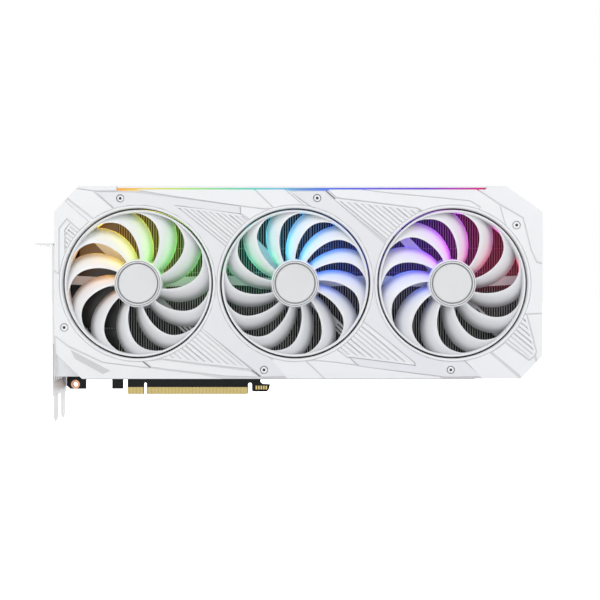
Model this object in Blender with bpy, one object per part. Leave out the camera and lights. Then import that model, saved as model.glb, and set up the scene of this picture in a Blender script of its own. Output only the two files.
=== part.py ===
"""A white graphics card with three fans, built as the pieces that come apart on a bench.

X runs along the card from the slot bracket, Z runs up from the edge connector, and the fans
face -Y. The origin is on the circuit board's mid plane, below the middle of the long contact
blade, at the tip of its contacts. Sizes are in millimetres until a mesh is made.
"""

import math

import bmesh
import bpy
import numpy as np

METRES = 0.001
GAP = 0.3

# The circuit board and its edge connector, whose sizes every such card shares.
BOARD_HALF = 0.785
LONG_BLADE = 71.65
KEY_WIDTH = 1.9
SHORT_BLADE = 11.65
BOARD_FOOT = 10.4
BOARD_LEFT = -92.4
BOARD_RIGHT = 196.0
BOARD_TOP = 131.0
STAND_OFFS = [(-60, 112), (-60, 20), (90, 112), (90, 20), (186, 92), (186, 20)]

# The cooler, from the fans' face at the front to the backplate.
TRIM_FRONT = -52.5
SHROUD_FRONT = -51.6
SHROUD_PLATE = 2.5
SHROUD_WALL = 2.2
SHROUD_BACK = -33.3
SHROUD_LEFT = -88.7
SHROUD_RIGHT = 231.7
SHROUD_BOTTOM = 14.8
SHROUD_TOP = 141.4
FIN_FRONT = -33.0
FIN_FOOT = -14.7
FIN_PITCH = 4.2
FIN_THICK = 0.9
BACKPLATE_BACK = 5.3

# The fans: a middle one between two alike, which turn the other way.
FAN_Z = 77.5
FAN_MIDDLE_X = 69.4
FAN_PITCH = 103.35
FAN_FRONT = -51.0
OPENING_RADIUS = 49.7
COLLAR_RADIUS = 51.4
COLLAR_BACK = -36.6
ROUND_STEPS = 44
RING_OUTER = 48.3
RING_INNER = 46.9
HUB_RADIUS = 15.7
HUB_DEPTH = 12.0
CAP_RADIUS = 13.0
FRAME_NEAR = 14.8
FRAME_FAR = 16.8
ARM_ANGLES = (3, 135, 177, 315)
ARM_WIDTH = 6.0
ARM_REACH = 51.2
BLADE_ROOT = 15.0
BLADE_TIP = 47.6
FANS = {
    "left": dict(x=FAN_MIDDLE_X - FAN_PITCH, blades=11, turn=1, phase=20.4),
    "middle": dict(x=FAN_MIDDLE_X, blades=13, turn=-1, phase=7.2),
    "right": dict(x=FAN_MIDDLE_X + FAN_PITCH, blades=11, turn=1, phase=12.5),
}

# The slot bracket: a steel sheet two slots wide.
BRACKET_OUTER = -93.7
BRACKET_SHEET = 0.8
BRACKET_TOP = 104.5
BRACKET_HEIGHT = 120.0
SLOT_WIDTH = 18.4
SLOT_PITCH = 20.32
BRACKET_BACK = 1.5
TONGUE_WIDTH = 10.2
TAB_LENGTH = 11.4

# The display sockets: where each starts above the contacts, and its length along the bracket.
DISPLAY_SOCKETS = {
    "hdmi_socket_1": (14.5, 14.6),
    "displayport_1": (31.4, 15.8),
    "displayport_2": (49.0, 15.8),
    "displayport_3": (66.6, 15.8),
    "hdmi_socket_2": (84.9, 14.6),
}

# The light bar in the top edge.
LIGHT_LEFT = -47.3
LIGHT_RIGHT = 195.4
LIGHT_LOW = 138.6
LIGHT_HIGH = 140.4

# The screws that hold the shroud: places on its face, and their head and shank radii.
SCREWS = [(-45.3, 133.2), (83.9, 133.4), (214.7, 115.7), (-82.1, 48.5), (49.0, 20.7), (171.5, 20.7)]
SCREW_HEAD = 2.45
SCREW_SHANK = 1.3

# The ribbed fields of the shroud's face: grooves at one slope, each from its start on a slanted edge
# to just short of an opening. A field gives its fan, its first and last start, and which way it runs.
RIB_SLOPE = -39.5
RIB_COUNT = 6
RIB_GROOVE = 1.1
RIB_DEPTH = 0.7
RIB_FIELDS = {
    "left_end": ("left", (-81.7, 114.0), (-83.5, 95.0), 1),
    "top_left": ("middle", (-1.0, 125.0), (34.0, 120.5), 1),
    "top_right": ("right", (101.0, 130.0), (146.0, 124.5), 1),
    "bottom_left": ("left", (3.0, 28.2), (33.0, 23.8), -1),
    "bottom_right": ("middle", (106.0, 31.6), (139.0, 27.4), -1),
    "right_end": ("right", (220.0, 57.0), (226.0, 34.0), -1),
}

LOOKS = {
    "white_plastic": ((0.83, 0.83, 0.84), 0.45, 0.0),
    "white_metal": ((0.84, 0.84, 0.85), 0.4, 0.1),
    "fan_plastic": ((0.78, 0.78, 0.79), 0.5, 0.0),
    "light_guide": ((0.45, 0.6, 0.9), 0.3, 0.0),
    "fin_metal": ((0.03, 0.03, 0.032), 0.45, 0.6),
    "copper": ((0.72, 0.38, 0.25), 0.35, 1.0),
    "steel": ((0.62, 0.62, 0.63), 0.35, 1.0),
    "grey_metal": ((0.5, 0.51, 0.53), 0.4, 0.8),
    "board_black": ((0.03, 0.03, 0.033), 0.5, 0.0),
    "black_plastic": ((0.02, 0.02, 0.02), 0.5, 0.0),
    "ferrite": ((0.08, 0.08, 0.085), 0.7, 0.2),
}


def material(look):
    made = bpy.data.materials.get(look)
    if made:
        return made
    colour, roughness, metallic = LOOKS[look]
    made = bpy.data.materials.new(look)
    made.use_nodes = True
    shader = made.node_tree.nodes["Principled BSDF"]
    shader.inputs["Base Color"].default_value = (*colour, 1.0)
    shader.inputs["Roughness"].default_value = roughness
    shader.inputs["Metallic"].default_value = metallic
    return made


def prism(outline, front, back):
    """A closed (x, z) outline carried along Y."""
    count = len(outline)
    points = [(x, y, z) for y in (front, back) for x, z in outline]
    sides = [(i, (i + 1) % count, count + (i + 1) % count, count + i) for i in range(count)]
    return points, [tuple(range(count)), tuple(range(count, 2 * count)), *sides]


def box(low, high):
    (x0, y0, z0), (x1, y1, z1) = low, high
    return prism([(x0, z0), (x1, z0), (x1, z1), (x0, z1)], y0, y1)


def revolve(profile, steps):
    """A closed (radius, y) profile, clear of the axis, turned about Y."""
    count = len(profile)
    angles = [2 * math.pi * step / steps for step in range(steps)]
    points = [(r * math.cos(a), y, r * math.sin(a)) for a in angles for r, y in profile]
    faces = []
    for step in range(steps):
        here = step * count
        there = (step + 1) % steps * count
        for i in range(count):
            after = (i + 1) % count
            faces.append((here + i, here + after, there + after, there + i))
    return points, faces


def arc(centre, radius, start, end, steps):
    """Points from one angle to another, in degrees, counted up from +X towards +Z."""
    angles = np.radians(np.linspace(start, end, steps + 1))
    return [(centre[0] + radius * math.cos(a), centre[1] + radius * math.sin(a)) for a in angles]


def disc(centre, radius, front, back, steps):
    return prism(arc(centre, radius, 0, 360 * (1 - 1 / steps), steps - 1), front, back)


def add(name, shapes, look=None, parent=None):
    """One object of one or more (points, faces) shapes. With no look it is a hidden cutter."""
    points, faces = [], []
    for shape_points, shape_faces in shapes:
        base = len(points)
        points += [tuple(METRES * c for c in point) for point in shape_points]
        faces += [tuple(base + i for i in face) for face in shape_faces]
    mesh = bpy.data.meshes.new(name)
    mesh.from_pydata(points, [], faces)
    work = bmesh.new()
    work.from_mesh(mesh)
    bmesh.ops.recalc_face_normals(work, faces=work.faces)
    work.to_mesh(mesh)
    work.free()
    made = bpy.data.objects.new(name, mesh)
    bpy.context.collection.objects.link(made)
    made.parent = parent
    if look:
        mesh.materials.append(material(look))
        mesh.shade_smooth()
        mesh.set_sharp_from_angle(angle=math.radians(35))
    else:
        made.hide_render = True
        made.display_type = "WIRE"
    return made


def combine(made, operation, shapes):
    """A Boolean on an object, with a hidden operand at the same place."""
    operand = add(f"{made.name}_{operation.lower()}_{len(made.modifiers)}", shapes, parent=made.parent)
    step = made.modifiers.new(operand.name, "BOOLEAN")
    step.operation = operation
    step.object = operand
    step.solver = "EXACT"


def empty(name, place, parent=None):
    made = bpy.data.objects.new(name, None)
    made.location = [METRES * c for c in place]
    made.parent = parent
    bpy.context.collection.objects.link(made)
    return made


def fan_centres():
    return [(fan["x"], FAN_Z) for fan in FANS.values()]


def inset_outline(inset):
    """The shroud's outline: a long plate with its four corners cut off, drawn in by inset."""
    left, right = SHROUD_LEFT + inset, SHROUD_RIGHT - inset
    low, high = SHROUD_BOTTOM + inset, SHROUD_TOP - inset
    cut = 0.58 * inset
    return [
        (left, high - 16.6 + cut), (left + 16.2 - cut, high),
        (right - 24.2 + cut, high), (right, high - 17.0 + cut),
        (right, low + 15.0 - cut), (right - 14.3 + cut, low),
        (left + 18.2 - cut, low), (left, low + 17.7 - cut),
    ]


def front_shroud(card):
    """The moulded cover: a face with three collared openings, and walls around its edge."""
    made = add("front_shroud", [prism(inset_outline(0), SHROUD_FRONT, SHROUD_BACK)], "white_plastic", card)
    inside = SHROUD_FRONT + SHROUD_PLATE
    combine(made, "DIFFERENCE", [prism(inset_outline(SHROUD_WALL), inside, SHROUD_BACK + 1)])
    collars = [disc(c, COLLAR_RADIUS, inside - 1, COLLAR_BACK, 36) for c in fan_centres()]
    combine(made, "UNION", collars)
    through = (SHROUD_FRONT - 1, SHROUD_BACK + 1, ROUND_STEPS)
    combine(made, "DIFFERENCE", [disc(c, OPENING_RADIUS, *through) for c in fan_centres()])
    slot_low = (LIGHT_LEFT - GAP, SHROUD_FRONT - 1, LIGHT_LOW - GAP)
    slot_high = (LIGHT_RIGHT + GAP, SHROUD_FRONT + 5, LIGHT_HIGH + GAP)
    combine(made, "DIFFERENCE", [box(slot_low, slot_high)])
    heads = [disc(s, SCREW_HEAD + GAP, SHROUD_FRONT - 1, SHROUD_FRONT + 0.9, 12) for s in SCREWS]
    combine(made, "DIFFERENCE", heads)
    shanks = [disc(s, SCREW_SHANK + GAP, SHROUD_FRONT, inside + 1, 8) for s in SCREWS]
    combine(made, "DIFFERENCE", shanks)
    combine(made, "DIFFERENCE", rib_grooves())


def rib_grooves():
    """Slanted grooves for the ribbed fields, evenly spaced along each field's edge."""
    along = np.array([math.cos(math.radians(RIB_SLOPE)), math.sin(math.radians(RIB_SLOPE))])
    across = np.array([-along[1], along[0]]) * RIB_GROOVE / 2
    grooves = []
    for side, first, last, way in RIB_FIELDS.values():
        centre = np.array([FANS[side]["x"], FAN_Z])
        for start in np.linspace(first, last, RIB_COUNT):
            out = start - centre
            toward = -way * (out @ along)
            room = toward**2 - out @ out + (COLLAR_RADIUS + 1.0) ** 2
            end = start + way * along * (toward - math.sqrt(room))
            corners = [start - across, end - across, end + across, start + across]
            outline = [tuple(corner) for corner in corners]
            grooves.append(prism(outline, SHROUD_FRONT - 1, SHROUD_FRONT + RIB_DEPTH))
    return grooves


def trim_plates(card):
    """Two slanting accent plates through the waists between the fans, each under two screws."""
    left, middle, right = fan_centres()
    clear = COLLAR_RADIUS + 0.1
    first = [
        (-61.0, 137.3), (-36.1, 137.0), (7.1, 131.4), (33.0, 127.9),
        (33.3, 123.2), (-9.9, 128.8), *arc(middle, clear, 152, 251, 11),
        (63.1, 16.6), (48.0, 16.2), (8.4, 47.9), *arc(left, clear, -32, 107, 12),
    ]
    second = [
        (66.0, 137.6), (88.6, 137.9), *arc(right, clear, 150, 278, 14),
        (191.2, 16.6), (168.9, 16.2), (111.9, 23.2), (105.3, 28.8), (148.6, 23.3), (147.9, 25.6),
        (115.2, 51.8), *arc(middle, clear, -29, 78, 10),
    ]
    holes = [disc(s, SCREW_HEAD + GAP, TRIM_FRONT - 1, SHROUD_FRONT, 12) for s in SCREWS]
    places = {"trim_plate_left": (first, (0, 4)), "trim_plate_right": (second, (1, 5))}
    for name, (outline, screws) in places.items():
        made = add(name, [prism(outline, TRIM_FRONT, SHROUD_FRONT - GAP)], "white_metal", card)
        combine(made, "DIFFERENCE", [holes[i] for i in screws])


def shroud_screws(card):
    """Six screws with a button head and a hexagon socket."""
    top = SHROUD_FRONT - 0.6
    for number, (x, z) in enumerate(SCREWS, 1):
        place = empty(f"screw_place_{number}", (x, 0, z), card)
        profile = [(0.01, top), (1.9, top), (SCREW_HEAD, top + 0.5), (SCREW_HEAD, top + 1.2)]
        profile += [(SCREW_SHANK, top + 1.2), (SCREW_SHANK, top + 6.0), (0.01, top + 6.0)]
        made = add(f"shroud_screw_{number}", [turned(profile, 8)], "steel", place)
        combine(made, "DIFFERENCE", [disc((0, 0), 0.95, top - 1, top + 0.9, 6)])


def turned(profile, steps):
    """A solid of revolution about Y from a (radius, y) profile whose ends lie on the axis."""
    points, faces = [(0, profile[0][1], 0), (0, profile[-1][1], 0)], []
    rings = profile[1:-1]
    for radius, y in rings:
        points += [(x, y, z) for x, z in arc((0, 0), radius, 0, 360 * (1 - 1 / steps), steps - 1)]
    for i in range(steps):
        after = (i + 1) % steps
        faces.append((0, 2 + i, 2 + after))
        for ring in range(len(rings) - 1):
            here, there = 2 + ring * steps, 2 + (ring + 1) * steps
            faces.append((here + i, there + i, there + after, here + after))
        last = 2 + (len(rings) - 1) * steps
        faces.append((1, last + after, last + i))
    return points, faces


def blade(turn, pitch, place):
    """One fan blade: a grid across its chord and along its span, given a thickness in Y.

    The front edge leans forward as it goes out, most at the tip, where it runs into the ring.
    The rear edge follows it, and the blade falls away from the front edge in a hollow curve.
    """
    across, along = 4, 5
    u, v = np.meshgrid(np.linspace(0, 1, across), np.linspace(0, 1, along), indexing="ij")
    radius = BLADE_ROOT + (BLADE_TIP - BLADE_ROOT) * v
    reach = pitch / 32.7
    front = reach * (26 * v**1.35 + 12 * v**10)
    rear = reach * (30 * v**1.1 - 24.8)
    angle = np.radians(place + turn * (front + (rear - front) * u))
    near = 1.3 - 0.3 * v
    far = 10.6 - 0.5 * v
    depth = near + (far - near) * u**1.4
    half = 0.30 + 0.25 * np.sin(math.pi * u)
    skins = []
    for side in (-1, 1):
        skin = np.stack([radius * np.cos(angle), depth + side * half, radius * np.sin(angle)], axis=-1)
        skins += [tuple(p) for p in skin.reshape(-1, 3)]
    size = across * along

    def at(skin, i, j):
        return skin * size + i * along + j

    faces = []
    for skin in (0, 1):
        for i in range(across - 1):
            for j in range(along - 1):
                faces.append((at(skin, i, j), at(skin, i + 1, j), at(skin, i + 1, j + 1), at(skin, i, j + 1)))
    edge = [(i, 0) for i in range(across)] + [(across - 1, j) for j in range(1, along)]
    edge += [(i, along - 1) for i in range(across - 2, -1, -1)] + [(0, j) for j in range(along - 2, 0, -1)]
    for (i, j), (k, m) in zip(edge, edge[1:] + edge[:1]):
        faces.append((at(0, i, j), at(0, k, m), at(1, k, m), at(1, i, j)))
    return skins, faces


def fan(side, spec, card):
    """A fan: the bladed rotor with what turns with it, and the motor that its frame carries."""
    hub = empty(f"fan_axis_{side}", (spec["x"], FAN_FRONT, FAN_Z), card)
    cup = [
        (1.8, 1.0), (CAP_RADIUS + GAP, 1.0), (CAP_RADIUS + GAP, 0.0), (HUB_RADIUS - 0.7, 0.0),
        (HUB_RADIUS, 0.7), (HUB_RADIUS, HUB_DEPTH), (14.3, HUB_DEPTH), (14.3, 2.4),
        (4.0, 2.4), (4.0, 4.2), (1.8, 4.2),
    ]
    rotor = add(f"fan_rotor_{side}", [revolve(cup, 18)], "fan_plastic", hub)
    pitch = 360 / spec["blades"]
    blades = [blade(spec["turn"], pitch, spec["phase"] + pitch * n) for n in range(spec["blades"])]
    combine(rotor, "UNION", blades)
    ring = [(RING_INNER, 0.3), (RING_OUTER, 0.3), (RING_OUTER, 11.0), (RING_INNER, 11.0)]
    combine(rotor, "UNION", [revolve(ring, 36)])
    add(f"hub_cap_{side}", [disc((0, 0), CAP_RADIUS, 0.1, 0.7, 20)], "white_metal", hub)
    magnet = [(12.4, 2.8), (14.0, 2.8), (14.0, 11.6), (12.4, 11.6)]
    add(f"rotor_magnet_{side}", [revolve(magnet, 16)], "ferrite", hub)
    add(f"rotor_shaft_{side}", [disc((0, 0), 1.45, 1.4, 13.6, 12)], "steel", hub)
    bearing = [(1.75, 4.6), (3.2, 4.6), (3.2, 14.0), (1.75, 14.0)]
    add(f"sleeve_bearing_{side}", [revolve(bearing, 10)], "copper", hub)
    stator(side, hub)
    fan_frame(side, hub)


def stator(side, hub):
    """The motor's wound core: six poles on a ring."""
    outline = []
    for pole in range(6):
        outline += arc((0, 0), 11.9, 60 * pole, 60 * pole + 40, 1)
        outline += arc((0, 0), 8.2, 60 * pole + 41, 60 * pole + 59, 1)
    made = add(f"motor_stator_{side}", [prism(outline, 3.0, 11.0)], "ferrite", hub)
    combine(made, "DIFFERENCE", [disc((0, 0), 5.1, 2.0, 12.0, 12)])


def fan_frame(side, hub):
    """The fixed spider behind the blades: a motor base with a bearing tube, on four arms."""
    made = add(f"fan_frame_{side}", [disc((0, 0), 17.0, FRAME_NEAR, FRAME_FAR, 24)], "grey_metal", hub)
    arms = []
    for angle in ARM_ANGLES:
        along = np.array([math.cos(math.radians(angle)), math.sin(math.radians(angle))])
        across = np.array([-along[1], along[0]]) * ARM_WIDTH / 2
        ends = (14 * along, ARM_REACH * along)
        corners = [ends[0] - across, ends[1] - across, ends[1] + across, ends[0] + across]
        arms.append(prism([tuple(c) for c in corners], FRAME_NEAR, FRAME_FAR))
    for arm in arms:
        combine(made, "UNION", [arm])
    tube = [(3.5, 4.9), (4.8, 4.9), (4.8, FRAME_FAR - 0.5), (3.5, FRAME_FAR - 0.5)]
    combine(made, "UNION", [revolve(tube, 12)])
    combine(made, "DIFFERENCE", [disc((0, 0), 3.5, 4.0, 14.4, 12)])


def heat_sink(card):
    """Two stacks of upright fins on folded feet, six heat pipes and the plate on the processor."""
    stacks = {"fin_stack_left": (-76.0, 78.0), "fin_stack_right": (80.0, 226.0)}
    for name, (left, right) in stacks.items():
        count = int((right - left - FIN_THICK) / FIN_PITCH) + 1
        outline = [(left, FIN_FOOT), (left, FIN_FRONT)]
        for fin in range(count):
            x = left + fin * FIN_PITCH
            if fin:
                outline += [(x, FIN_FOOT - 1.0), (x, FIN_FRONT)]
            outline += [(x + FIN_THICK, FIN_FRONT), (x + FIN_THICK, FIN_FOOT - 1.0)]
        outline[-1] = (outline[-1][0], FIN_FOOT)
        points, faces = prism(outline, 17.5, 137.5)
        add(name, [([(x, z, y) for x, y, z in points], faces)], "fin_metal", card)
    for number in range(6):
        z = 50.0 + 10.0 * number
        half = 100 - 8 * abs(number - 2.5)
        rod = turned([(0, -half), (2.75, -half), (2.75, half), (0, half)], 10)
        points = [(y + 45.0, x - 11.65, w + z) for x, y, w in rod[0]]
        add(f"heat_pipe_{number + 1}", [(points, rod[1])], "copper", card)
    add("cold_plate", [box((4, -8.6, 44), (66, -3.6, 106))], "copper", card)


def board(card):
    """The circuit board with its edge connector, retention hook, memory and coils."""
    half = LONG_BLADE / 2
    key = -half - KEY_WIDTH
    outline = [
        (BOARD_LEFT, BOARD_FOOT), (BOARD_LEFT, 6.0), (BOARD_LEFT + 2.4, 3.7), (-78.8, 3.7),
        (-78.8, BOARD_FOOT), (-60.3, BOARD_FOOT), (-60.3, 3.8), (-52.6, 3.8), (-52.6, BOARD_FOOT),
        (key - SHORT_BLADE, BOARD_FOOT), (key - SHORT_BLADE, 0.6), (key - SHORT_BLADE + 0.6, 0),
        (key, 0), (key, 7.2), *arc((key + KEY_WIDTH / 2, 7.2), KEY_WIDTH / 2, 170, 10, 4),
        (-half, 7.2), (-half, 0), (half - 0.6, 0), (half, 0.6), (half, 6.7),
        *arc((half + 1.4, 6.7), 1.4, 170, 10, 4), (half + 2.8, 6.7), (half + 2.8, 2.6),
        (half + 3.6, 1.8), (49.2, 1.8), (50.6, 3.4), (51.4, 6.9), (46.2, 7.2), (44.6, 8.6),
        (44.6, BOARD_FOOT),
        (BOARD_RIGHT, BOARD_FOOT), (BOARD_RIGHT, BOARD_TOP), (BOARD_LEFT, BOARD_TOP),
    ]
    made = add("circuit_board", [prism(outline, -BOARD_HALF, BOARD_HALF)], "board_black", card)
    combine(made, "DIFFERENCE", [disc((-86.3, 6.9), 1.6, -2, 2, 16)])
    chips = [(35 + 40 * math.cos(a), 75 + 40 * math.sin(a)) for a in np.radians(range(-45, 226, 30))]
    raised = [box((x - 6, -2.0, z - 6), (x + 6, 0, z + 6)) for x, z in chips]
    raised += [box((86 + 12 * n, -5.0, 30), (94 + 12 * n, 0, 38)) for n in range(8)]
    raised += [box((100 + 12 * n, -5.0, 100), (108 + 12 * n, 0, 108)) for n in range(7)]
    combine(made, "UNION", raised)
    add("processor", [box((14, -3.3, 54), (56, -BOARD_HALF - GAP, 96))], "steel", card)
    frame = add("mid_frame", [box((-90, -8.6, 16), (200, -7.2, 115))], "grey_metal", card)
    combine(frame, "DIFFERENCE", [box((1, -10, 41), (69, -6, 109))])
    combine(frame, "UNION", [disc(place, 2.5, -7.8, -BOARD_HALF - GAP, 8) for place in STAND_OFFS])


def sockets(card):
    """Three power sockets on the top edge, the display sockets, and the firmware switch."""
    for number in range(3):
        x = 128 + 20.5 * number
        low, high = (x, -14.0, 117.0), (x + 18.5, -BOARD_HALF - GAP, 131.5)
        made = add(f"power_socket_{number + 1}", [box(low, high)], "black_plastic", card)
        combine(made, "DIFFERENCE", [box((x + 1.2, -12.8, 121.0), (x + 17.3, -4.0, 133.0))])
    for name, (z, tall) in DISPLAY_SOCKETS.items():
        low, high = (-93.0, -6.6, z), (-76.0, -BOARD_HALF - GAP, z + tall)
        made = add(name, [box(low, high)], "steel", card)
        mouth = box((-95.0, -5.7, z + 0.9), (-82.0, -1.9, z + tall - 0.9))
        combine(made, "DIFFERENCE", [mouth])
    body = add("switch_body", [box((96, -4.6, 127.4), (105, -BOARD_HALF - GAP, 131.0))], "black_plastic", card)
    combine(body, "DIFFERENCE", [box((97.5, -3.7, 129.2), (103.5, -2.0, 132.0))])
    place = empty("switch_slide", (99.5, -2.85, 130.5), card)
    add("switch_knob", [box((-1.2, -0.5, -0.9), (1.2, 0.5, 1.6))], "white_plastic", place)


def bracket(card):
    """The folded steel bracket: a plate with cut-outs, two tongues below and a screw tab above."""
    outer, inner = BRACKET_OUTER, BRACKET_OUTER + BRACKET_SHEET
    front = BRACKET_BACK - SLOT_WIDTH - SLOT_PITCH
    foot = BRACKET_TOP - BRACKET_HEIGHT
    made = add("io_bracket", [box((outer, front, 2), (inner, BRACKET_BACK, BRACKET_TOP))], "steel", card)
    tab_low = (outer - TAB_LENGTH, front, BRACKET_TOP - BRACKET_SHEET)
    combine(made, "UNION", [box(tab_low, (inner, BRACKET_BACK, BRACKET_TOP))])
    centres = [BRACKET_BACK - SLOT_WIDTH / 2 - SLOT_PITCH * slot for slot in range(2)]
    reach = TONGUE_WIDTH / 2
    for y in centres:
        outline = [(y - reach, 3), (y - reach, foot + 3), (y - reach + 3, foot)]
        outline += [(y + reach - 3, foot), (y + reach, foot + 3), (y + reach, 3)]
        points, faces = prism(outline, outer, inner)
        combine(made, "UNION", [([(b, a, c) for a, b, c in points], faces)])
    notches = []
    for y in centres:
        end = arc((outer - 5.0, y), 2.3, 90, -90, 8)
        outline = [(outer - TAB_LENGTH - 1, y + 2.3), *end, (outer - TAB_LENGTH - 1, y - 2.3)]
        points, faces = prism(outline, BRACKET_TOP - 3, BRACKET_TOP + 2)
        notches.append(([(a, c, b) for a, b, c in points], faces))
    windows = []
    for z, tall in DISPLAY_SOCKETS.values():
        windows.append(box((outer - 1, -7.0, z - 0.4), (inner + 1, -0.7, z + tall + 0.4)))
    vents = [box((outer - 1, -35.0 + 5 * n, 12), (inner + 1, -32.0 + 5 * n, 96)) for n in range(5)]
    combine(made, "DIFFERENCE", notches)
    combine(made, "DIFFERENCE", windows + vents)


def backplate(card):
    """The pressed cover on the board's back, with a vent behind the far fan."""
    outline = [(-89.0, 13.0), (222.0, 13.0), (228.0, 19.0), (228.0, 134.0)]
    outline += [(222.0, 140.0), (-80.0, 140.0), (-89.0, 131.0)]
    made = add("backplate", [prism(outline, BACKPLATE_BACK - 1.6, BACKPLATE_BACK)], "white_metal", card)
    slots = []
    for n in range(9):
        z = 34.0 + 9.5 * n
        slots.append(prism([(200, z), (218, z + 8), (218, z + 11.5), (200, z + 3.5)], 2, 7))
    combine(made, "DIFFERENCE", slots)
    combine(made, "DIFFERENCE", [disc((x, z), 1.7, 2, 7, 12) for x in (6, 64) for z in (46, 104)])
    combine(made, "UNION", [disc(place, 2.5, BOARD_HALF + GAP, 4.5, 8) for place in STAND_OFFS])
    brace = [box((8, 1.3, 71), (62, 2.6, 79)), box((31, 1.3, 48), (39, 2.6, 102))]
    cross = add("retention_brace", brace[:1], "steel", card)
    combine(cross, "UNION", brace[1:])


def light_bar(card):
    """The milky light guide in the top edge, and the strip of lamps behind it."""
    y = SHROUD_FRONT - 0.3
    outline = [(LIGHT_LEFT, LIGHT_LOW), (LIGHT_RIGHT, LIGHT_LOW)]
    outline += [(LIGHT_RIGHT - 2.5, LIGHT_HIGH), (LIGHT_LEFT, LIGHT_HIGH)]
    add("light_bar", [prism(outline, y, SHROUD_FRONT + 4.4)], "light_guide", card)
    add("lamp_strip", [box((-45, -46.9, 135.2), (190, -45.7, 138.8))], "white_plastic", card)


def main():
    for old in list(bpy.data.objects):
        bpy.data.objects.remove(old)
    card = empty("card", (0, 0, 0))
    board(card)
    heat_sink(card)
    for side, spec in FANS.items():
        fan(side, spec, card)
    front_shroud(card)
    trim_plates(card)
    light_bar(card)
    shroud_screws(card)
    sockets(card)
    bracket(card)
    backplate(card)


main()
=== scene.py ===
"""Looks of a white graphics card with three fans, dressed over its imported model.

Lengths are in metres. The fans face -Y, +Z is up and the slot bracket is at the low X end.
"""

import math

import bpy
import numpy as np
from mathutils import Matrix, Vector
from mathutils.geometry import tessellate_polygon


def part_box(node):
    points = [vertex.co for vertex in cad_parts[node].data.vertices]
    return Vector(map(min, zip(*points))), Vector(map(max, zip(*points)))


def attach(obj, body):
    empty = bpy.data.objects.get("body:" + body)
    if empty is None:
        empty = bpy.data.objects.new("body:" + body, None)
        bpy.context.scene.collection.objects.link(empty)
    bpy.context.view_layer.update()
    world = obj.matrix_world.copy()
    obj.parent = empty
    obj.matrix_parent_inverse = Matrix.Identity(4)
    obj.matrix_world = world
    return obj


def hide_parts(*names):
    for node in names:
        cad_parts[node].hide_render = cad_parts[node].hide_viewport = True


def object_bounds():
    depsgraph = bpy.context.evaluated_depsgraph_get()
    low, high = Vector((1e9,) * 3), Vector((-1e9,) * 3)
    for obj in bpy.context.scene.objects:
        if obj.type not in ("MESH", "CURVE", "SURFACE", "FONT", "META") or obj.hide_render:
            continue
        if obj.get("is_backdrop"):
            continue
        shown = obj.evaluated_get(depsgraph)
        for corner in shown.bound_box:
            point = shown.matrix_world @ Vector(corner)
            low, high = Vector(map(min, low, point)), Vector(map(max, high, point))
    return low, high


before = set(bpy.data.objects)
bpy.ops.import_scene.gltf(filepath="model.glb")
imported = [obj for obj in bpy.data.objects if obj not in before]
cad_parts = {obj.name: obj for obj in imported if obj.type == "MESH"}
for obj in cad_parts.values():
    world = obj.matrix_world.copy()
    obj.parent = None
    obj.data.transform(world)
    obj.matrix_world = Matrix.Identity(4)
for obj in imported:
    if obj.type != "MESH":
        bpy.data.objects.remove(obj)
cad_low, cad_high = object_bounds()
MM = 0.001


# The front cover is one shell of white moulded plastic with three round openings, screwed down over
# the fans. Its own face shows only as the floor of the grooves between its raised fields, and is
# painted darker there, as painted shade in the grooves.
cover_low, cover_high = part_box("front_shroud")
FACE = cover_low.y
COVER_WHITES = (0.80, 0.81, 0.83), (0.84, 0.85, 0.87)
COVER_ROUGHNESS = 0.42
GROOVE_PAINTED_SHADE = (0.66, 0.665, 0.68)


def socket_of(group, name, kind, into, default=None):
    """One named socket of a node group."""
    made = group.interface.new_socket(name=name, in_out="INPUT" if into else "OUTPUT", socket_type=kind)
    if default is not None:
        made.default_value = default
    return made


# Moulding grain: fine and coarse noise together, as a height for the bump and a tone for the colour.
grain = bpy.data.node_groups.new("moulding_grain", "ShaderNodeTree")
socket_of(grain, "Scale", "NodeSocketFloat", True, 2500.0)
socket_of(grain, "Height", "NodeSocketFloat", False)
socket_of(grain, "Tone", "NodeSocketFloat", False)
grain_in = grain.nodes.new("NodeGroupInput")
grain_out = grain.nodes.new("NodeGroupOutput")
grain_place = grain.nodes.new("ShaderNodeTexCoord")
grain_fine = grain.nodes.new("ShaderNodeTexNoise")
grain_fine.inputs["Detail"].default_value = 3.0
grain_wide = grain.nodes.new("ShaderNodeTexNoise")
grain_wide.inputs["Scale"].default_value = 38.0
grain_wide.inputs["Detail"].default_value = 4.0
grain.links.new(grain_place.outputs["Object"], grain_fine.inputs["Vector"])
grain.links.new(grain_place.outputs["Object"], grain_wide.inputs["Vector"])
grain.links.new(grain_in.outputs["Scale"], grain_fine.inputs["Scale"])
grain.links.new(grain_fine.outputs["Fac"], grain_out.inputs["Height"])
grain.links.new(grain_wide.outputs["Fac"], grain_out.inputs["Tone"])


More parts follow.
